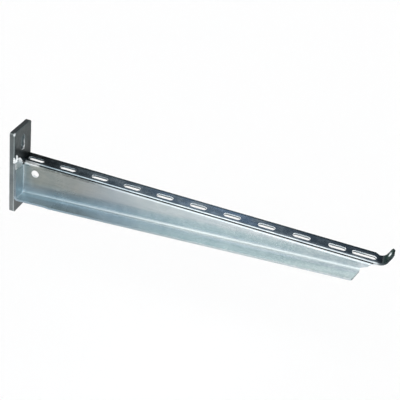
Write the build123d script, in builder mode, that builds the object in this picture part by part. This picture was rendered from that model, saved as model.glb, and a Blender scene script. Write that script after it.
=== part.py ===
from build123d import *
from math import hypot
import os

# Cable tray bracket: a flat wall plate with a cantilever arm pressed from one sheet.
# The origin is on the wall face, on the plate's centre line, level with the arm's top.
# +X runs from the wall to the arm's tip, +Y to the side of the top flange, +Z is up.

# Wall plate
plate_width = 50.0
plate_height = 133.0
plate_thickness = 8.0
plate_rise = 55.0  # the plate's top above the arm's top
plate_corner = 3.5
plate_edge = 0.8
wall_bolt_hole = 11.0  # clears an M10 bolt, in the slot as in the round hole
wall_slot_length = 25.0
wall_slot_drop = 25.0  # slot centre below the plate's top
wall_hole_lift = 10.0  # hole centre above the plate's foot

# Pressed arm
sheet = 3.0
bend = 2.0  # inside radius of every fold
flange = 28.0  # width over the fold, the same for the top and the bottom flange
root_depth = 56.0  # the web is deepest at the plate and tapers to the tip
tip_depth = 19.0
web_length = 504.0  # from the plate to the end of the bottom flange
brow_length = 516.0  # from the plate to the end of the top fold
toe_height = 6.5  # upright end of the web above the bottom flange
brow_depth = 7.5  # the web's depth at the end of the top fold
brow_lean = 2.5  # the end of the top fold leans back by this much
toe_slant = 7.0  # the bottom flange's end leans back by this much
toe_corner = 4.0
foot_trim_length = 48.0  # the bottom flange starts flush with the plate's side
foot_trim_flare = 1.5
foot_trim_run = 8.0
head_lift = 8.0  # the head flange's upper corner stands above the arm's top
relief = 4.5  # notch that frees the top fold from the head flange

# Slots and hole of the arm
slot_count = 10
slot_pitch = 50.0
slot_first = 25.0  # from the wall
slot_length = 25.0
slot_width = 9.0
slot_inset = 14.0  # slot row to the far edge of the top flange
end_slot_length = 34.0
end_slot_gap = 8.0
web_hole = 11.0
web_hole_reach = 22.0  # from the plate
web_hole_drop = 16.0  # below the arm's top

# Turned-up nose
nose_width = 20.0
nose_inset = 4.0  # nose to the far edge of the top flange
nose_start = 525.0  # from the plate to the start of the curl
nose_radius = 10.0
nose_angle = 68.0
nose_lip = 13.0  # straight part beyond the curl
nose_corner = 4.5
nose_hole = 8.0
shoulder_run = 6.0  # the top flange narrows to the nose over this length

# Welds
bead_height = 5.0
bead_end = 1.0  # the top seam stops this far short of the plate's side
pool_radius = 3.2
pool_count = 4  # weld pools that stand out of the top seam
pool_climb = 4.8  # one more pool stands this much higher on the plate
rear_bead_leg = 3.5
rear_bead_end = 4.0  # the rear seam stops this far short of the folds

# Places that follow from the sizes
front = plate_thickness  # the arm starts on the plate's front face
far_edge = plate_width / 2
web_near = far_edge - flange
web_far = web_near + sheet
foot_edge = web_far - flange
side_edge = -plate_width / 2
plate_top = plate_rise
plate_foot = plate_rise - plate_height
outer_bend = bend + sheet
web_end = front + web_length
brow_end = front + brow_length
slot_row = far_edge - slot_inset
slot_last = slot_first + (slot_count - 1) * slot_pitch
end_slot_x = slot_last + slot_length / 2 + end_slot_gap + end_slot_length / 2
curl_start = front + nose_start
nose_far = far_edge - nose_inset
nose_near = nose_far - nose_width
head_slope = head_lift / (web_near - bend - side_edge)

with BuildPart() as head_plate:
    with BuildSketch(Plane.YZ):
        with Locations((0, (plate_top + plate_foot) / 2)):
            RectangleRounded(plate_width, plate_height, plate_corner)
        with Locations((0, plate_top - wall_slot_drop)):
            SlotOverall(wall_slot_length, wall_bolt_hole, rotation=90, mode=Mode.SUBTRACT)
        with Locations((0, plate_foot + wall_hole_lift)):
            Circle(wall_bolt_hole / 2, mode=Mode.SUBTRACT)
    extrude(amount=plate_thickness)
    # The rolled bar's outer rim is slightly rounded on both faces
    for face in faces().filter_by(Axis.X):
        fillet(face.outer_wire().edges(), plate_edge)

with BuildPart() as arm:
    # The web, the bottom flange and the head flange are drawn as one open tray:
    # a tapered block with its three folded edges rounded, hollowed to the sheet.
    with BuildSketch(Plane.XZ.offset(-web_far)):
        with BuildLine():
            Polyline(
                (front, -outer_bend),
                (front, -root_depth),
                (web_end, -tip_depth),
                (web_end, -outer_bend),
                close=True,
            )
        make_face()
    extrude(amount=flange)
    foot_fold = edges().group_by(Axis.Y)[-1].sort_by(Axis.Z)[0]
    head_fold = edges().group_by(Axis.Y)[-1].sort_by(Axis.X)[0]
    corner_fold = edges().filter_by(Axis.Y).sort_by(Axis.Z)[0]
    fillet([foot_fold, head_fold, corner_fold], outer_bend)
    offset(
        amount=-sheet,
        openings=[
            faces().sort_by(Axis.Y)[0],
            faces().sort_by(Axis.Z)[-1],
            faces().sort_by(Axis.X)[-1],
        ],
    )

    # Top fold and top flange, seen from the wall, run to the start of the nose
    with BuildSketch(Plane.YZ.offset(front)):
        with BuildLine():
            Line((web_near, -outer_bend), (web_far, -outer_bend))
            RadiusArc((web_far, -outer_bend), (web_far + bend, -sheet), bend)
            Line((web_far + bend, -sheet), (far_edge, -sheet))
            Line((far_edge, -sheet), (far_edge, 0))
            Line((far_edge, 0), (web_near + outer_bend, 0))
            RadiusArc((web_near + outer_bend, 0), (web_near, -outer_bend), -outer_bend)
        make_face()
    extrude(amount=nose_start)

    # The upper part of the web reaches further than the bottom flange
    with BuildSketch(Plane.XZ.offset(-web_far)):
        with BuildLine():
            Polyline(
                (web_end, -outer_bend),
                (web_end, toe_height - tip_depth),
                (brow_end - brow_lean, -brow_depth),
                (brow_end - brow_lean * outer_bend / brow_depth, -outer_bend),
                close=True,
            )
        make_face()
    extrude(amount=sheet)

    # The head flange's free corner stands up beside the arm
    with BuildSketch(Plane.YZ.offset(front)):
        with BuildLine():
            Polyline(
                (side_edge, -outer_bend - bend),
                (side_edge, head_lift),
                (web_near - bend, 0),
                (web_near - bend, -outer_bend - bend),
                close=True,
            )
        make_face()
    extrude(amount=sheet)

    # The sides are trimmed flush with the plate near the wall
    with BuildSketch(Plane.XY.offset(head_lift)):
        with BuildLine():
            Polyline(
                (0, foot_edge),
                (0, side_edge),
                (front + foot_trim_length, side_edge - foot_trim_flare),
                (front + foot_trim_length + foot_trim_run, foot_edge),
                close=True,
            )
        make_face()
    extrude(amount=-root_depth - 2 * head_lift, mode=Mode.SUBTRACT)

    # Relief notch in the corner between the top fold and the head flange
    with BuildSketch(Plane.XY):
        with BuildLine():
            Polyline(
                (front, web_near - bend),
                (front + relief, web_near - bend),
                (front + relief, web_far + bend),
                (front, web_far + bend),
                close=True,
            )
        make_face()
    extrude(amount=-outer_bend, mode=Mode.SUBTRACT)

    # The bottom flange's end is cut at a slant, and its free corner is rounded
    with BuildSketch(Plane.XY.offset(-tip_depth + toe_height)):
        with BuildLine():
            Polyline(
                (web_end, web_near - bend),
                (web_end + sheet, web_near - bend),
                (web_end + sheet, foot_edge),
                (web_end - toe_slant, foot_edge),
                close=True,
            )
        make_face()
    extrude(amount=-root_depth, mode=Mode.SUBTRACT)
    fillet(edges().filter_by(Axis.Z).group_by(Axis.Y)[0].sort_by(Axis.X)[-1], toe_corner)

    # The top flange narrows to the nose on both sides
    with BuildSketch(Plane.XY):
        with BuildLine():
            Polyline(
                (curl_start - shoulder_run, far_edge),
                (curl_start, nose_far),
                (curl_start, far_edge),
                close=True,
            )
        make_face()
        with BuildLine():
            Polyline(
                (brow_end, web_near),
                (curl_start, nose_near),
                (curl_start, web_near),
                close=True,
            )
        make_face()
    extrude(amount=-outer_bend, mode=Mode.SUBTRACT)
    with BuildSketch(Plane.XY.offset(-sheet)):
        with Locations(((brow_end + curl_start) / 2, web_near)):
            Rectangle(curl_start - brow_end, 2 * outer_bend)
    extrude(amount=-outer_bend, mode=Mode.SUBTRACT)

    # The nose curls up out of the flange and ends in a rounded lip
    with BuildSketch(Plane.XZ.offset(-nose_far)):
        with BuildLine():
            curl = JernArc((curl_start, 0), (1, 0), nose_radius, nose_angle)
            lip = Line(curl @ 1, curl @ 1 + nose_lip * (curl % 1))
            offset(amount=sheet, side=Side.RIGHT)
        make_face()
    extrude(amount=nose_width)
    lip_end = faces().filter_by(GeomType.PLANE).sort_by(Axis.Z)[-1]
    fillet(lip_end.edges().sort_by(SortBy.LENGTH)[:2], nose_corner)

    # Slots along the top flange, with a longer one at the tip
    with BuildSketch(Plane.XY):
        with Locations(((slot_first + slot_last) / 2, slot_row)):
            with GridLocations(slot_pitch, 1, slot_count, 1):
                SlotOverall(slot_length, slot_width)
        with Locations((end_slot_x, slot_row)):
            SlotOverall(end_slot_length, slot_width)
    extrude(amount=-sheet, mode=Mode.SUBTRACT)

    with BuildSketch(Plane.XZ.offset(-web_far)):
        with Locations((front + web_hole_reach, -web_hole_drop)):
            Circle(web_hole / 2)
    extrude(amount=sheet, mode=Mode.SUBTRACT)

    lip_middle = lip @ 0.5
    lip_way = lip % 0.5
    with BuildSketch(
        Plane(
            origin=(lip_middle.X, (nose_near + nose_far) / 2, lip_middle.Y),
            x_dir=(0, 1, 0),
            z_dir=(lip_way.Y, 0, -lip_way.X),
        )
    ):
        Circle(nose_hole / 2)
    extrude(amount=sheet, mode=Mode.SUBTRACT)

with BuildPart() as top_weld:
    # A lumpy seam lies on the head flange's sloping edge and climbs the plate
    seam = Plane(
        origin=(front, web_near - bend - bead_end, bead_end * head_slope),
        x_dir=(1, 0, 0),
        z_dir=(0, -1, head_slope),
    )
    seam_length = (web_near - bend - side_edge - 2 * bead_end) * hypot(1, head_slope)
    with BuildSketch(seam):
        with BuildLine():
            Line((0, 0), (sheet, 0))
            ThreePointArc(
                (sheet, 0), (0.8 * sheet, 0.6 * bead_height), (0, bead_height)
            )
            Line((0, bead_height), (0, 0))
        make_face()
    extrude(amount=seam_length)
    pool_pitch = (seam_length - 2 * pool_radius) / (pool_count - 1)
    pools = [(0, bead_height, pool_radius + i * pool_pitch) for i in range(pool_count)]
    pools.append((0, bead_height + pool_climb, pool_radius + 2.4 * pool_pitch))
    with Locations([seam.from_local_coords(pool) for pool in pools]):
        Sphere(pool_radius)
    split(bisect_by=Plane.YZ.offset(front), keep=Keep.TOP)

with BuildPart() as rear_weld:
    # An upright seam fills the groove behind the web's fold
    with BuildSketch(Plane.XY.offset(-root_depth + outer_bend + rear_bead_end)):
        with BuildLine():
            Line((front, web_near), (front, web_far + rear_bead_leg))
            RadiusArc(
                (front, web_far + rear_bead_leg),
                (front + outer_bend, web_far),
                -2 * rear_bead_leg,
            )
            Polyline((front + outer_bend, web_far), (front + outer_bend, web_near), (front, web_near))
        make_face()
    extrude(amount=root_depth - 2 * (outer_bend + rear_bead_end))
    add(arm.part, mode=Mode.SUBTRACT)

os.makedirs("parts", exist_ok=True)
for name, piece in (
    ("head_plate", head_plate),
    ("arm", arm),
    ("top_weld", top_weld),
    ("rear_weld", rear_weld),
):
    print(name, piece.part.is_valid, len(piece.part.solids()), round(piece.part.volume, 1))

head_plate.part.label = "head_plate"
arm.part.label = "arm"
top_weld.part.label = "top_weld"
rear_weld.part.label = "rear_weld"
export_step(head_plate.part, "parts/head_plate.step")
export_step(arm.part, "parts/arm.step")
export_step(top_weld.part, "parts/top_weld.step")
export_step(rear_weld.part, "parts/rear_weld.step")
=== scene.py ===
# %% [markdown]
# # A zinc plated cable tray bracket
# This lesson dresses a finished CAD model in Blender. The bracket is a thick wall
# plate with a long arm pressed from 3 mm sheet. The CAD model gives the exact shape,
# and this script adds the camera, the light, the finishes and the rough weld seams.
# Everything is in metres: +X runs from the wall to the tip and +Z is up.

# %% Load the frame
import math

import bpy
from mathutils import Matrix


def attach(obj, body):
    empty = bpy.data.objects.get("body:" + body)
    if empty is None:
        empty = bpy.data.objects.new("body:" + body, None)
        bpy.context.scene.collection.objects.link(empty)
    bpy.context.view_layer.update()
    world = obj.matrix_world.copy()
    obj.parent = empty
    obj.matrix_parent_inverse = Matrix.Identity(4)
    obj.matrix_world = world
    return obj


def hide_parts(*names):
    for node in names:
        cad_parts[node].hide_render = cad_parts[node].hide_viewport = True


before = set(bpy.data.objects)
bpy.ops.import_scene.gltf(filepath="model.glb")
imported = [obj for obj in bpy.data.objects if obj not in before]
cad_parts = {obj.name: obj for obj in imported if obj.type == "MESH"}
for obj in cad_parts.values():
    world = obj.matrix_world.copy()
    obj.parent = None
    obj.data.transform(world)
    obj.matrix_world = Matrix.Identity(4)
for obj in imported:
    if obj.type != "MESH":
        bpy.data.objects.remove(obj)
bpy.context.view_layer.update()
MM = 0.001
print("nodes:", sorted(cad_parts))

# %% [markdown]
# ## The camera
# A product photograph like this one is taken from the front and from above, so that
# the slots in the top show. The camera could be aimed with a constraint, but a plain
# place and three angles say the same thing and are easy to change.

# %% Place the camera
camera_data = bpy.data.cameras.new("camera")
camera_data.sensor_width = 36.0
camera_data.lens = 71.665
camera_data.clip_start = 0.05
camera_data.clip_end = 60.0
camera = bpy.data.objects.new("camera", camera_data)
camera.location = (0.474243, -0.901391, 0.617450)
camera.rotation_euler = [math.radians(a) for a in (56.66034, -7.86478, 17.41865)]
bpy.context.scene.collection.objects.link(camera)
bpy.context.scene.camera = camera
print("camera:", [round(v, 3) for v in camera.location], "lens", camera_data.lens, "mm")

# %% [markdown]
# ## Helpers for nodes
# The room and the finishes are painted with nodes. A few short functions keep the
# recipes below readable: each makes one or two nodes and returns the result's socket.

# %% Make the helpers
def link(tree, source, target):
    tree.links.new(source, target)


def maths(tree, operation, *values):
    """One Math node. Each value is a socket or a plain number."""
    node = tree.nodes.new("ShaderNodeMath")
    node.operation = operation
    for socket, value in zip(node.inputs, values):
        if isinstance(value, (int, float)):
            socket.default_value = value
        else:
            link(tree, value, socket)
    return node.outputs[0]


def times(tree, *values):
    total = values[0]
    for value in values[1:]:
        total = maths(tree, "MULTIPLY", total, value)
    return total


def plus(tree, *values):
    total = values[0]
    for value in values[1:]:
        total = maths(tree, "ADD", total, value)
    return total


def spread(tree, value, low, high, to_low, to_high):
    """Maps one range of a value smoothly to another."""
    node = tree.nodes.new("ShaderNodeMapRange")
    node.interpolation_type = "SMOOTHSTEP"
    ends = (("From Min", low), ("From Max", high), ("To Min", to_low), ("To Max", to_high))
    for name, number in ends:
        node.inputs[name].default_value = number
    link(tree, value, node.inputs["Value"])
    return node.outputs["Result"]


def within(tree, value, low, high, soft):
    """One between low and high, and nothing outside them."""
    above = spread(tree, value, low - soft, low, 0, 1)
    below = spread(tree, value, high, high + soft, 1, 0)
    return times(tree, above, below)


def ramp(tree, value, stops):
    """Colours along a value: stops are (place, colour), from the lowest place up."""
    low, high = stops[0][0], stops[-1][0]
    span = tree.nodes.new("ShaderNodeMapRange")
    span.inputs["From Min"].default_value = low
    span.inputs["From Max"].default_value = high
    link(tree, value, span.inputs["Value"])
    node = tree.nodes.new("ShaderNodeValToRGB")
    while len(node.color_ramp.elements) < len(stops):
        node.color_ramp.elements.new(0.5)
    for stop, (place, colour) in zip(node.color_ramp.elements, stops):
        stop.position = (place - low) / (high - low)
        stop.color = (*colour, 1)
    link(tree, span.outputs["Result"], node.inputs["Fac"])
    return node.outputs["Color"]


def greys(table, unit=1.0):
    """Turns stops of (place, number) into the plain greys that a ramp takes."""
    return [(place, (number / unit,) * 3) for place, number in table]


def blend(tree, amount, first, second, kind="MIX"):
    """Mixes two colours. Each of them is a socket or a plain colour."""
    node = tree.nodes.new("ShaderNodeMix")
    node.data_type = "RGBA"
    node.blend_type = kind
    for socket, value in ((node.inputs[0], amount), (node.inputs[6], first), (node.inputs[7], second)):
        if isinstance(value, tuple):
            socket.default_value = (*value, 1)
        elif isinstance(value, (int, float)):
            socket.default_value = value
        else:
            link(tree, value, socket)
    return node.outputs[2]


def tint(tree, amount, colour, by):
    """Multiplies a colour by another one, as far as amount says."""
    return blend(tree, amount, colour, by, "MULTIPLY")


def noise(tree, place, stretch, scale, detail=3.0, rough=0.5):
    """A cloud pattern, squeezed along the axes by stretch."""
    mapping = tree.nodes.new("ShaderNodeMapping")
    mapping.inputs["Scale"].default_value = stretch
    cloud = tree.nodes.new("ShaderNodeTexNoise")
    cloud.inputs["Scale"].default_value = scale
    cloud.inputs["Detail"].default_value = detail
    cloud.inputs["Roughness"].default_value = rough
    link(tree, place, mapping.inputs["Vector"])
    link(tree, mapping.outputs["Vector"], cloud.inputs["Vector"])
    return cloud.outputs["Fac"]


def axes(tree, vector):
    node = tree.nodes.new("ShaderNodeSeparateXYZ")
    link(tree, vector, node.inputs[0])
    return node.outputs


def nothing_selected():
    if bpy.context.object and bpy.context.object.mode != "OBJECT":
        bpy.ops.object.mode_set(mode="OBJECT")
    bpy.ops.object.select_all(action="DESELECT")


print("helpers ready")

# %% [markdown]
# ## The studio
# Bright metal has hardly any colour of its own: it shows what stands round it. A pale
# floor fills the lower half of every reflection and makes the white background. A
# sheet that curves up behind the part would do too, but the camera looks down, so a
# flat floor is enough.

# %% Lay the floor
FLOOR_DROP = 0.50
FLOOR_SIZE = 16.0
nothing_selected()
bpy.ops.mesh.primitive_grid_add(
    x_subdivisions=8, y_subdivisions=8, size=FLOOR_SIZE, location=(0.25, 0, -FLOOR_DROP)
)
floor = bpy.context.object
floor.name = "studio_floor"

floor_paint = bpy.data.materials.new("floor_paint")
floor_paint.use_nodes = True
floor_shader = floor_paint.node_tree.nodes["Principled BSDF"]
floor_shader.inputs["Base Color"].default_value = (0.98, 0.98, 0.98, 1)
floor_shader.inputs["Roughness"].default_value = 0.9
floor_shader.inputs["Specular IOR Level"].default_value = 0.0
floor.data.materials.append(floor_paint)
print("floor is", FLOOR_DROP, "m below the arm's top")

# %% [markdown]
# Two wide softboxes run along the whole arm: one in front, which the web, the lower
# flange and the folds catch, and one overhead, which draws a thin bright line along the
# top fold. The dark gap between them gives the black line beside it, and the dim back
# of the room is what the flat top of the arm shows. Lamps could do this, but a room
# painted by angle is quicker to tune and lights the floor evenly as well.

# %% Paint the softboxes
BRIGHTEST = 3.5
world = bpy.data.worlds.new("studio_room")
bpy.context.scene.world = world
world.use_nodes = True
room = world.node_tree
across, away, up = axes(room, room.nodes.new("ShaderNodeTexCoord").outputs["Generated"])
# The angle in degrees from the front horizon over the top to the back horizon
angle = times(room, maths(room, "ARCTAN2", up, times(room, away, -1)), 180 / math.pi)
# Each stop is an angle and a brightness
BOXES = [
    (0, 1.90),
    (18, 1.80),
    (26, 1.45),
    (48, 1.45),
    (54, 0.03),
    (96, 0.03),
    (101, 1.90),
    (134, 1.90),
    (139, 0.03),
    (168, 0.03),
    (180, 1.00),
]
# They fade towards the wall's side, and a brighter one stands beyond the tip. Each stop
# is a direction along the arm and a share.
SIDES = [
    (-0.70, 2.0),
    (-0.48, 0.50),
    (-0.42, 0.42),
    (-0.36, 0.52),
    (-0.33, 0.72),
    (-0.24, 1.10),
    (-0.16, 1.08),
    (-0.07, 0.95),
    (0.20, 0.80),
    (0.45, 0.80),
    (0.62, 2.0),
]
boxes = ramp(room, angle, greys(BOXES, BRIGHTEST))
boxes = blend(room, 1, boxes, ramp(room, across, greys(SIDES, 2)), "MULTIPLY")
print("two softboxes, with", len(room.nodes), "nodes")

# %% [markdown]
# A dim bluish screen stands at the back, behind the middle of the arm, and gives the
# flat top its blue sheen. Low down and far to both sides the walls are plain white, so
# that no view from the side looks into a dark room.

# %% Paint the back and the walls
SCREEN = [
    (-0.42, 0.0),
    (-0.33, 0.08),
    (-0.24, 0.65),
    (-0.16, 1.10),
    (-0.07, 0.60),
    (0.01, 0.55),
    (0.10, 0.3),
]
BLUE = [tone / BRIGHTEST / 2 for tone in (0.19, 0.24, 0.30)]
screen = ramp(room, across, [(place, tuple(tone * share for tone in BLUE)) for place, share in SCREEN])
sky = blend(room, spread(room, angle, 140, 145, 0, 1), boxes, screen, "ADD")
# The walls are brighter in front than at the back
PLAIN = [(-1.0, 1.8), (-0.2, 1.8), (0.3, 1.05), (1.0, 1.05)]
plain = ramp(room, away, greys(PLAIN, BRIGHTEST * 2))
ahead = spread(room, maths(room, "ABSOLUTE", across), 0.48, 0.62, 1, 0)
ceiling = times(room, ahead, spread(room, up, 0.34, 0.43, 0, 1))
sky = blend(room, ceiling, plain, sky)
link(room, sky, room.nodes["Background"].inputs["Color"])
room.nodes["Background"].inputs["Strength"].default_value = BRIGHTEST * 2
bpy.context.scene.view_settings.view_transform = "Standard"
print("the room is lit, with", len(room.nodes), "nodes")

# %% [markdown]
# ## Zinc plated steel
# Zinc is laid on the steel in a thin bright coat and passivated to a bluish grey. On a
# real bracket it is never even: it is mottled in clouds and drawn in faint lines along
# the rolled sheet. Painted shade darkens it near the welds, and a painted highlight
# brightens its edges. Each of these is one small group of nodes on Object coordinates,
# so the pattern stays fixed to the steel.

# %% Start and finish a zinc material
def new_zinc(name):
    paint = bpy.data.materials.new(name)
    paint.use_nodes = True
    tree = paint.node_tree
    tree.nodes["Principled BSDF"].inputs["Metallic"].default_value = 1.0
    place = tree.nodes.new("ShaderNodeTexCoord").outputs["Object"]
    facing = tree.nodes.new("ShaderNodeNewGeometry").outputs["Normal"]
    return paint, tree, place, facing


def finish_zinc(paint, place, facing, colour, rough, wave, edge_highlight_gain, edge_radius):
    """Paints a highlight on the edges, adds a shallow bump, and joins all to the shader."""
    tree = paint.node_tree
    shader = tree.nodes["Principled BSDF"]
    worn = tree.nodes.new("ShaderNodeBevel")
    worn.samples = 6
    worn.inputs["Radius"].default_value = edge_radius
    turn = tree.nodes.new("ShaderNodeVectorMath")
    turn.operation = "DOT_PRODUCT"
    link(tree, worn.outputs["Normal"], turn.inputs[0])
    link(tree, facing, turn.inputs[1])
    # Painted highlight: the colour is brightened along the edges, where the bevelled normal turns away from
    # the face's own
    edge = spread(tree, turn.outputs["Value"], 0.90, 0.995, 1, 0)
    link(tree, tint(tree, edge, colour, (edge_highlight_gain,) * 3), shader.inputs["Base Color"])
    link(tree, rough, shader.inputs["Roughness"])
    swell = spread(tree, noise(tree, place, (1, 3, 3), 14, 2, 0.4), 0.2, 0.8, 0, wave)
    grain = spread(tree, noise(tree, place, (1, 1, 1), 900, 2, 0.5), 0.2, 0.8, 0, 0.02)
    bump = tree.nodes.new("ShaderNodeBump")
    bump.inputs["Strength"].default_value = 0.35
    bump.inputs["Distance"].default_value = 0.001
    link(tree, plus(tree, swell, grain), bump.inputs["Height"])
    link(tree, worn.outputs["Normal"], bump.inputs["Normal"])
    link(tree, bump.outputs["Normal"], shader.inputs["Normal"])
    print("finish:", paint.name, "with", len(tree.nodes), "nodes")


# %% [markdown]
# ### The pressed sheet
# The coat is a little bluer by the weld, and it grows brighter towards the tip, partly
# as painted light. Clouds vary the colour, and long faint lines from the rolling mill
# run along the arm. The colour could come from a painted image, but ramps along X stay
# sharp at any distance.

# %% Lay the coat on the sheet
sheet_zinc, tree, place, facing = new_zinc("sheet_zinc")
x, y, z = axes(tree, place)
nx, ny, nz = axes(tree, facing)
clouds = noise(tree, place, (1, 1, 1), 45, 4, 0.6)
patches = noise(tree, place, (1, 1.5, 1.5), 16, 3, 0.55)
lines = noise(tree, place, (1, 16, 16), 20, 3, 0.5)
along = plus(tree, x, times(tree, patches, 0.05), -0.025)
# The tones along the arm are the coat's own colour with painted light in them, brighter towards the tip
COAT_AND_PAINTED_LIGHT = [
    (0.00, (0.65, 0.755, 0.80)),
    (0.06, (0.56, 0.68, 0.74)),
    (0.15, (0.54, 0.625, 0.675)),
    (0.24, (0.60, 0.67, 0.695)),
    (0.32, (0.69, 0.74, 0.765)),
    (0.45, (0.745, 0.785, 0.805)),
    (0.51, (0.735, 0.775, 0.80)),
]
colour = ramp(tree, along, COAT_AND_PAINTED_LIGHT)
colour = tint(tree, spread(tree, clouds, 0.35, 0.65, 1, 0), colour, (0.90, 0.92, 0.93))
colour = tint(tree, spread(tree, patches, 0.35, 0.65, 0, 1), colour, (0.96, 0.97, 0.97))
colour = tint(tree, spread(tree, lines, 0.35, 0.70, 0, 0.3), colour, (0.80, 0.84, 0.86))
print("coat in", len(COAT_AND_PAINTED_LIGHT), "tones along the arm")

# %% [markdown]
# Painted shade lies on the upper web near the plate, darker and warmer there. Its tones
# follow one ramp along the arm, and two soft limits keep it on the web. Painted shade
# also darkens the front edge of the foot near the plate, and towards the tip the coat
# shows a fine grain.

# %% Paint shade on the web and the cut edge
FOOT_SLOPE = 0.0734  # how fast the foot climbs along the arm
# The height, measured from a line that climbs with the foot
slanted_height = plus(tree, z, times(tree, x, -FOOT_SLOPE))
faces_front = spread(tree, ny, -0.95, -0.6, 1, 0)
# Painted shade on the upper web, darkest and warmest near the plate
WEB_SHADE = [
    (0.00, (0.72, 0.68, 0.66)),
    (0.03, (0.52, 0.46, 0.40)),
    (0.10, (0.62, 0.54, 0.48)),
    (0.15, (0.76, 0.73, 0.72)),
    (0.20, (0.97, 0.93, 0.90)),
    (0.28, (1.0, 1.0, 1.0)),
]
upper_web = times(tree, faces_front, spread(tree, slanted_height, -0.052, -0.030, 0, 1))
colour = tint(tree, upper_web, colour, ramp(tree, along, WEB_SHADE))
# Painted shade on the foot's front edge, darkest near the plate
CUT_EDGE = [
    (0.0, (0.40, 0.44, 0.47)),
    (0.012, (0.52, 0.56, 0.60)),
    (0.15, (0.55, 0.60, 0.64)),
    (0.30, (0.82, 0.85, 0.86)),
    (0.50, (0.90, 0.92, 0.92)),
]
front_edge = times(tree, faces_front, spread(tree, y, -0.024, -0.022, 1, 0))
colour = tint(tree, front_edge, colour, ramp(tree, x, CUT_EDGE))
grain = noise(tree, place, (1, 2, 2), 240, 2, 0.6)
grain = times(tree, spread(tree, grain, 0.42, 0.60, 1, 0), spread(tree, x, 0.20, 0.45, 0.35, 1))
colour = tint(tree, grain, colour, (0.84, 0.87, 0.885))
print("web stained in", len(WEB_SHADE), "tones, cut edge in", len(CUT_EDGE))

# %% [markdown]
# On the fold beside the weld the heat left flecks of dark scale, and just before them a
# painted highlight lies along the fold as one pale strip. A small picture on the fold
# could show them. A noise cut to a narrow band does the same and stays sharp close up.

# %% Mark the top fold
top_fold = times(tree, spread(tree, z, -0.007, -0.004, 0, 1), spread(tree, y, 0.001, 0.003, 1, 0))
smudges = spread(tree, noise(tree, place, (1, 3, 3), 170, 3, 0.6), 0.42, 0.54, 0.5, 1)
scale_band = times(tree, within(tree, z, -0.0042, -0.0009, 0.0006), within(tree, x, 0.055, 0.11, 0.04))
colour = tint(tree, times(tree, top_fold, scale_band, smudges), colour, (0.40, 0.40, 0.39))
# Painted highlight: one pale strip along the top fold near the plate
fold_highlight_strip = times(
    tree, top_fold, within(tree, x, 0.015, 0.030, 0.008), spread(tree, z, -0.0034, -0.0016, 0, 1)
)
colour = blend(tree, fold_highlight_strip, colour, (0.95, 0.97, 0.98))
print("scale from 55 to 110 mm, pale strip from 15 to 30 mm")

# %% [markdown]
# The foot is the lower flange, which faces up. Its colour changes along the arm, and
# painted shade darkens the low web just above it near the plate. A second material could
# do this, but it would show a hard border, where a tint along a ramp fades in.

# %% Shade the low web and tone the foot
# Painted shade in the corner just above the foot, near the plate
low_web = times(tree, faces_front, within(tree, slanted_height, -0.048, -0.040, 0.005))
colour = tint(tree, times(tree, low_web, spread(tree, x, 0.06, 0.14, 1, 0)), colour, (0.74, 0.71, 0.71))
FOOT_TONES = [
    (0.0, (0.86, 0.86, 0.86)),
    (0.10, (0.78, 0.78, 0.78)),
    (0.15, (1.0, 1.0, 1.0)),
    (0.22, (0.94, 0.99, 0.99)),
    (0.30, (0.84, 0.91, 0.885)),
    (0.40, (0.77, 0.83, 0.80)),
    (0.48, (0.86, 0.92, 0.885)),
]
foot = times(tree, spread(tree, nz, 0.6, 0.9, 0, 1), spread(tree, y, -0.014, -0.010, 1, 0))
colour = tint(tree, foot, colour, ramp(tree, along, FOOT_TONES))
print("foot dulled in", len(FOOT_TONES), "tones")

# %% [markdown]
# Painted shade darkens the flat top: darkest beside the weld, and darker again at the tip
# and along its far edge. In the middle the passivation has turned faintly blue. The faces
# that look up at the arm's own height are the top, so no face has to be picked by hand.

# %% Darken the flat top
# Painted shade along the flat top, darkest beside the weld
TOP_SHADE = [
    (0.0, (0.15, 0.15, 0.15)),
    (0.02, (0.20, 0.20, 0.20)),
    (0.05, (0.46, 0.46, 0.46)),
    (0.10, (0.82, 0.82, 0.82)),
    (0.14, (1.0, 1.0, 1.0)),
    (0.34, (1.0, 1.0, 1.0)),
    (0.40, (0.59, 0.64, 0.68)),
    (0.50, (0.39, 0.44, 0.48)),
]
top = times(tree, spread(tree, nz, 0.8, 0.95, 0, 1), within(tree, z, -0.0002, 0.0002, 0.0004))
colour = tint(tree, times(tree, top, spread(tree, y, 0.004, 0.007, 0.2, 1)), colour, ramp(tree, x, TOP_SHADE))
# Painted shade along the top's far edge
far_edge = times(tree, spread(tree, y, 0.0205, 0.0225, 0, 1), spread(tree, clouds, 0.35, 0.6, 0.6, 1))
colour = tint(tree, times(tree, top, far_edge), colour, (0.42, 0.42, 0.41))
colour = tint(tree, times(tree, top, spread(tree, clouds, 0.40, 0.60, 1, 0)), colour, (0.80, 0.82, 0.84))
bluing = times(tree, spread(tree, y, 0.0035, 0.0045, 0, 1), within(tree, x, 0.24, 0.36, 0.06))
bluing = times(tree, top, bluing, spread(tree, patches, 0.42, 0.58, 0, 1))
colour = tint(tree, bluing, colour, (0.90, 1.0, 1.15))
print("top darkened in", len(TOP_SHADE), "tones")

# %% [markdown]
# The curled nose is the darkest part. Metal turns bright where it is seen edge-on, and
# Specular Tint holds that back on the lip, which stays dull. The cut ends of the web and
# the foot are dark too.

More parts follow.
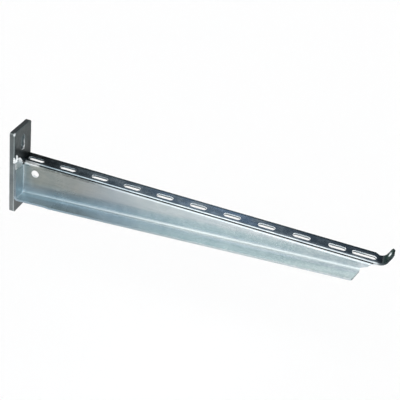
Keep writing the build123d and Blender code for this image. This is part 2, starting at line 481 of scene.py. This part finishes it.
# %% Darken the nose and the cut ends
colour = tint(tree, spread(tree, x, 0.528, 0.537, 0, 1), colour, (0.20, 0.22, 0.23))
lip = times(tree, spread(tree, x, 0.528, 0.534, 0, 1), spread(tree, z, -0.001, 0.003, 0, 1))
colour = tint(tree, lip, colour, (0.30, 0.34, 0.33))
edge_on = blend(tree, lip, (1.0, 1.0, 1.0), (0.45, 0.50, 0.47))
link(tree, edge_on, tree.nodes["Principled BSDF"].inputs["Specular Tint"])
end_cut = times(
    tree,
    spread(tree, nx, 0.4, 0.7, 0, 1),
    spread(tree, x, 0.49, 0.50, 0, 1),
    spread(tree, z, -0.006, -0.004, 1, 0),
)
colour = tint(tree, end_cut, colour, (0.30, 0.34, 0.34))
print("nose and ends darkened, with", len(tree.nodes), "nodes so far")

# %% [markdown]
# Where the sheet is folded inwards a painted highlight lies along the fold. A fold is a
# straight line, so the distance from that line says where it is. The normals would do
# too, but they can't tell one fold from the next.

# %% Paint highlights on the inner folds
def from_line(*offsets):
    """The distance from a line, out of the offsets at right angles to it."""
    return maths(tree, "SQRT", plus(tree, *[maths(tree, "POWER", offset, 2) for offset in offsets]))


WEB_FACE, HEAD_FACE, FOOT_FACE = -0.003, 0.011, -0.0536
to_web = plus(tree, y, -WEB_FACE)
to_head = plus(tree, x, -HEAD_FACE)
to_foot = plus(tree, z, times(tree, x, -FOOT_SLOPE), -FOOT_FACE)
near_side = spread(tree, y, -0.0029, -0.0027, 1, 0)
# Painted highlights: a faint pale line along the head fold and the corner fold
head_fold = times(tree, near_side, spread(tree, from_line(to_web, to_head), 0.0022, 0.006, 1, 0))
corner_fold = times(tree, near_side, spread(tree, from_line(to_foot, to_head), 0.0022, 0.006, 1, 0))
fold_highlights = maths(tree, "MAXIMUM", head_fold, corner_fold)
colour = blend(tree, times(tree, fold_highlights, 0.12), colour, (0.80, 0.86, 0.90))
# Painted highlight along the crease above the foot, stronger away from the plate
CREASE_HIGHLIGHT = [
    (0.0, 0.06),
    (0.10, 0.12),
    (0.15, 0.28),
    (0.20, 0.46),
    (0.25, 0.70),
    (0.30, 0.80),
    (0.40, 0.70),
    (0.50, 0.62),
]
crease = times(tree, near_side, spread(tree, from_line(to_web, to_foot), 0.0021, 0.0046, 1, 0))
crease = times(tree, crease, spread(tree, x, 0.010, 0.016, 0, 1))
colour = blend(tree, times(tree, crease, ramp(tree, along, greys(CREASE_HIGHLIGHT))), colour, (0.94, 1.0, 1.0))
print("three folds whitened")

# %% [markdown]
# A punch leaves a bright sheared wall in each slot and hole, and a thin dark line at
# its bottom. Near the plate the slot walls are darker. The slots stand in one row, so
# one band along the arm finds them all.

# %% Finish the punched walls
upright = spread(tree, maths(tree, "ABSOLUTE", nz), 0.2, 0.5, 1, 0)
slots = times(tree, upright, within(tree, y, 0.0063, 0.0157, 0.0006))
slots = times(tree, slots, within(tree, z, -0.0031, 0.0001, 0.0006))
SHEARED = [(0.02, (0.25, 0.27, 0.28)), (0.13, (0.50, 0.52, 0.53)), (0.23, (0.93, 0.96, 0.98))]
colour = blend(tree, slots, colour, ramp(tree, x, SHEARED))
slot_bottom_line = times(tree, slots, spread(tree, z, -0.0020, -0.0016, 1, 0))
colour = blend(tree, slot_bottom_line, colour, (0.03, 0.04, 0.045))

# The lip leans by 68 degrees, so its hole is found along and across the lip
LIP_SINE, LIP_COSINE = 0.927, 0.375
SLOT_ROW = 0.011  # the slots and the lip's hole stand in one row
lip_facing = plus(tree, times(tree, nx, LIP_SINE), times(tree, nz, -LIP_COSINE))
up_the_lip = plus(tree, times(tree, x, LIP_COSINE), times(tree, z, LIP_SINE), -0.21565)
from_lip_hole = from_line(plus(tree, y, -SLOT_ROW), up_the_lip)
lip_wall = spread(tree, maths(tree, "ABSOLUTE", lip_facing), 0.3, 0.6, 1, 0)
lip_wall = times(tree, lip_wall, spread(tree, from_lip_hole, 0.0042, 0.0045, 1, 0))
colour = blend(tree, lip_wall, colour, (0.62, 0.66, 0.67))
from_web_hole = from_line(plus(tree, x, -0.030), plus(tree, z, 0.016))
web_wall = spread(tree, from_web_hole, 0.0056, 0.0060, 1, 0)
web_wall = times(tree, web_wall, within(tree, y, -0.0031, 0.0001, 0.0004))
colour = blend(tree, web_wall, colour, (0.97, 0.98, 0.98))
print("slot and hole walls done")

# %% [markdown]
# The gloss varies with the clouds and the rolling lines. The crease and the pale strip
# are matt, and so are the flat sides near the plate and at the tip, where a sharp
# reflection would show the room.

# %% Set the sheet's gloss
rough = plus(
    tree,
    spread(tree, clouds, 0.3, 0.7, 0.11, 0.17),
    spread(tree, lines, 0.3, 0.7, 0, 0.04),
    times(tree, crease, 0.35),
    times(tree, fold_highlight_strip, 0.3),
)
flat_side = spread(tree, z, -0.0075, -0.0055, 1, 0)
rough = plus(tree, rough, times(tree, flat_side, spread(tree, x, 0.02, 0.10, 0.22, 0.07)))
rough = plus(tree, rough, times(tree, flat_side, spread(tree, x, 0.38, 0.48, 0, 0.18)))
finish_zinc(sheet_zinc, place, facing, colour, rough, wave=0.35, edge_highlight_gain=1.12, edge_radius=0.0005)

# %% [markdown]
# ### The wall plate
# The plate is cut from hot rolled bar. Its surface is rougher than the sheet's, so the
# same coat looks duller on it. Its colour is darker on the two broad faces. Painted shade
# is in its tones as well: they are lighter towards the bottom, darkest on the broad faces
# at the arm's height, and darker on the faces that look up and on the broad faces towards
# the far side.

# %% Lay the coat on the plate
plate_zinc, tree, place, facing = new_zinc("plate_zinc")
x, y, z = axes(tree, place)
nx, ny, nz = axes(tree, facing)
clouds = noise(tree, place, (1, 1, 1), 60, 4, 0.6)
# Painted shade in these tones: lighter towards the bottom, and on the faces darkest at the arm's height
SIDE = [
    (-0.078, (0.27, 0.29, 0.29)),
    (-0.04, (0.18, 0.205, 0.21)),
    (0.0, (0.19, 0.215, 0.22)),
    (0.055, (0.13, 0.147, 0.147)),
]
FACE = [
    (-0.078, (0.105, 0.12, 0.12)),
    (-0.01, (0.05, 0.062, 0.067)),
    (0.008, (0.030, 0.038, 0.040)),
    (0.03, (0.052, 0.068, 0.070)),
    (0.05, (0.060, 0.076, 0.077)),
]
broad = spread(tree, maths(tree, "ABSOLUTE", nx), 0.3, 0.9, 0, 1)
colour = blend(tree, broad, ramp(tree, z, SIDE), ramp(tree, z, FACE))
colour = tint(tree, spread(tree, clouds, 0.35, 0.65, 0, 1), colour, (0.78, 0.80, 0.82))
# Painted shade: faces that look up are darker, and the broad faces darken towards the far side
colour = tint(tree, spread(tree, nz, 0.6, 0.9, 0, 1), colour, (0.40, 0.42, 0.44))
colour = tint(tree, times(tree, broad, spread(tree, y, -0.010, 0.020, 0, 1)), colour, (0.66, 0.67, 0.66))
print("plate coated in", len(SIDE), "tones on the sides and", len(FACE), "on the faces")

# %% [markdown]
# The plate's edges carry a painted highlight, brightest at one upper corner. The slot's
# wall carries painted shade, with a painted highlight on a rim at its lower front. The
# CAD mesh stays as it is, so these marks are found by place and by how far a face is
# turned from the three main directions.

# %% Paint highlights on the plate's edges and shade in its slot
# Painted highlight: the rounded edges, the near front edge and one upper corner are brightened
largest = maths(tree, "MAXIMUM", maths(tree, "ABSOLUTE", ny), maths(tree, "ABSOLUTE", nz))
largest = maths(tree, "MAXIMUM", maths(tree, "ABSOLUTE", nx), largest)
colour = tint(tree, spread(tree, largest, 0.84, 0.97, 1, 0), colour, (1.9, 1.9, 1.9))
near_edge = times(tree, spread(tree, ny, -0.9, -0.5, 1, 0), spread(tree, x, 0.0055, 0.0072, 0, 1))
colour = tint(tree, near_edge, colour, (1.6, 1.6, 1.6))
corner_highlight = times(
    tree,
    spread(tree, y, -0.0235, -0.0215, 1, 0),
    spread(tree, x, 0.0050, 0.0070, 0, 1),
    spread(tree, z, 0.0495, 0.0525, 0, 1),
)
colour = blend(tree, corner_highlight, colour, (0.60, 0.64, 0.66))
# Painted shade on the slot's wall, and a painted highlight on a rim at its lower front
slot_wall = times(tree, within(tree, y, -0.0056, 0.0056, 0.0002), within(tree, z, 0.0172, 0.0428, 0.0002))
slot_wall = times(tree, slot_wall, spread(tree, maths(tree, "ABSOLUTE", nx), 0.3, 0.6, 1, 0))
colour = blend(tree, slot_wall, colour, (0.12, 0.15, 0.16))
rim = times(tree, slot_wall, spread(tree, x, 0.0058, 0.0066, 0, 1), spread(tree, z, 0.028, 0.034, 1, 0.1))
colour = blend(tree, rim, colour, (0.80, 0.85, 0.88))
rough = spread(tree, clouds, 0.3, 0.7, 0.30, 0.42)
finish_zinc(plate_zinc, place, facing, colour, rough, wave=0.2, edge_highlight_gain=2.8, edge_radius=0.0011)

# %% [markdown]
# ### The welds
# A weld is steel that froze in small lumps. The bath coats it bright, with dull hollows.
# Its roughness could be painted too, but clouds on it look the same and need no picture.

# %% Finish the welds
weld_zinc, tree, place, facing = new_zinc("weld_zinc")
clouds = noise(tree, place, (1, 1, 1), 160, 4, 0.6)
colour = blend(tree, spread(tree, clouds, 0.35, 0.65, 0, 1), (0.62, 0.66, 0.68), (0.92, 0.95, 0.96))
rough = spread(tree, clouds, 0.3, 0.7, 0.38, 0.55)
finish_zinc(weld_zinc, place, facing, colour, rough, wave=0.6, edge_highlight_gain=1.1, edge_radius=0.0002)

# %% [markdown]
# The arm and the plate already have their exact shape: they could be modelled again, but
# their CAD meshes are the part itself, so they only take the finishes.

# %% Paint the CAD nodes
for node, finish in (("arm", sheet_zinc), ("head_plate", plate_zinc)):
    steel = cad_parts[node]
    steel.data.materials.clear()
    steel.data.materials.append(finish)
    print(node, "->", finish.name, len(steel.data.polygons), "faces")

# %% [markdown]
# ## The weld seams
# The welder fills a seam pool by pool, and each pool freezes as a small dome over the
# last one. One dome is modelled here, slightly uneven, and is copied for every pool.

# %% Model one pool
nothing_selected()
bpy.ops.mesh.primitive_uv_sphere_add(segments=24, ring_count=16, radius=1.0)
pool = bpy.context.object
pool.name = "weld_pool"
bpy.ops.object.mode_set(mode="EDIT")
bpy.ops.mesh.select_all(action="SELECT")
bpy.ops.transform.vertex_random(offset=0.06, seed=4)
bpy.ops.mesh.vertices_smooth(factor=0.5, repeat=1)
bpy.ops.object.mode_set(mode="OBJECT")
print("one pool has", len(pool.data.vertices), "points")

# %% [markdown]
# The copies are melted into one skin with a voxel remesh, and a little smoothing and a
# cloud texture make the lumps uneven. At the end the skin is cut flat inside the plate.
# Sculpting would also do, but a list of pools is easy to move.

# %% Melt pools into a seam
SEAM_BASE = 6 * MM  # 2 mm behind the plate's front face
spatter = bpy.data.textures.new("spatter", "CLOUDS")
spatter.noise_scale = 1.6 * MM


def seam(name, node, pools, voxel):
    """Each pool is (middle, radii) in mm."""
    nothing_selected()
    for middle, radii in pools:
        lump = pool.copy()
        lump.data = pool.data.copy()
        bpy.context.scene.collection.objects.link(lump)
        lump.location = [v * MM for v in middle]
        lump.scale = [v * MM for v in radii]
        lump.select_set(True)
        bpy.context.view_layer.objects.active = lump
    bpy.ops.object.join()
    bpy.ops.object.transform_apply(location=True, rotation=True, scale=True)
    weld = bpy.context.object
    weld.name = name
    melt = weld.modifiers.new("melt", "REMESH")
    melt.mode = "VOXEL"
    melt.voxel_size = voxel * MM
    flow = weld.modifiers.new("flow", "SMOOTH")
    flow.factor = 0.5
    flow.iterations = 3
    rough_skin = weld.modifiers.new("rough_skin", "DISPLACE")
    rough_skin.texture = spatter
    rough_skin.texture_coords = "LOCAL"
    rough_skin.strength = 0.5 * MM
    rough_skin.mid_level = 0.5
    for step in ("melt", "flow", "rough_skin"):
        bpy.ops.object.modifier_apply(modifier=step)
    bpy.ops.object.mode_set(mode="EDIT")
    bpy.ops.mesh.select_all(action="SELECT")
    # The usual threshold of 0.1 mm would pull points onto the cut and double some faces
    bpy.ops.mesh.bisect(
        plane_co=(SEAM_BASE, 0, 0), plane_no=(1, 0, 0), use_fill=True, clear_inner=True, threshold=1e-7
    )
    bpy.ops.object.mode_set(mode="OBJECT")
    bpy.ops.object.shade_smooth_by_angle(angle=math.radians(50))
    weld.data.materials.append(weld_zinc)
    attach(weld, "root")
    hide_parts(node)
    places = [v.co for v in weld.data.vertices]
    corners = [[round(pick(place[k] for place in places) / MM, 1) for k in range(3)] for pick in (min, max)]
    print(name, len(weld.data.polygons), "faces, from", *corners, "mm")


# %% [markdown]
# The top seam lies on the head flange's sloping edge: an even bed, and uneven lumps on
# it, one of which runs up the plate. The rear seam fills the groove behind the web's
# fold in even ripples.

# %% Make both seams
EDGE_SLOPE = 8 / 20  # the head flange's upper edge drops 8 mm in 20
BED_PLACES = (-22.0, -19.2, -16.4, -13.6, -10.8, -8.0, -6.0)
bed = [((8.2, y, 8 + EDGE_SLOPE * (-25 - y) + 1.4), (2.4, 2.2, 1.9)) for y in BED_PLACES]
lumps = [
    ((8.2, -22.4, 9.4), (2.9, 2.6, 2.9)),
    ((7.9, -24.6, 11.6), (1.9, 2.0, 2.4)),
    ((7.7, -25.0, 14.6), (1.5, 1.5, 2.0)),
    ((7.8, -24.8, 8.4), (1.9, 1.9, 1.9)),
    ((8.2, -21.2, 9.0), (2.8, 2.2, 2.0)),
    ((8.2, -19.8, 11.4), (3.0, 2.6, 3.0)),
    ((8.2, -18.0, 9.6), (2.9, 2.2, 2.0)),
    ((8.1, -15.4, 9.4), (2.4, 1.8, 1.9)),
    ((8.1, -12.4, 8.6), (2.4, 1.8, 1.7)),
    ((8.1, -19.2, 14.6), (2.4, 1.8, 2.6)),
    ((8.1, -19.0, 16.8), (1.6, 1.2, 1.6)),
    ((8.2, -16.6, 8.2), (2.7, 2.2, 1.8)),
    ((8.2, -13.6, 6.8), (2.6, 2.0, 2.0)),
    ((8.2, -10.8, 7.2), (2.8, 2.1, 2.4)),
    ((8.2, -8.0, 4.6), (2.4, 1.8, 1.9)),
]
seam("top_seam", "top_weld", bed + lumps, 0.32)
RIPPLE_STEP = 3.58
ripples = [((8.9, 0.2, -11.9 - RIPPLE_STEP * i), (3.5, 3.0, 2.6)) for i in range(10)]
seam("rear_seam", "rear_weld", ripples, 0.40)
bpy.data.objects.remove(pool)
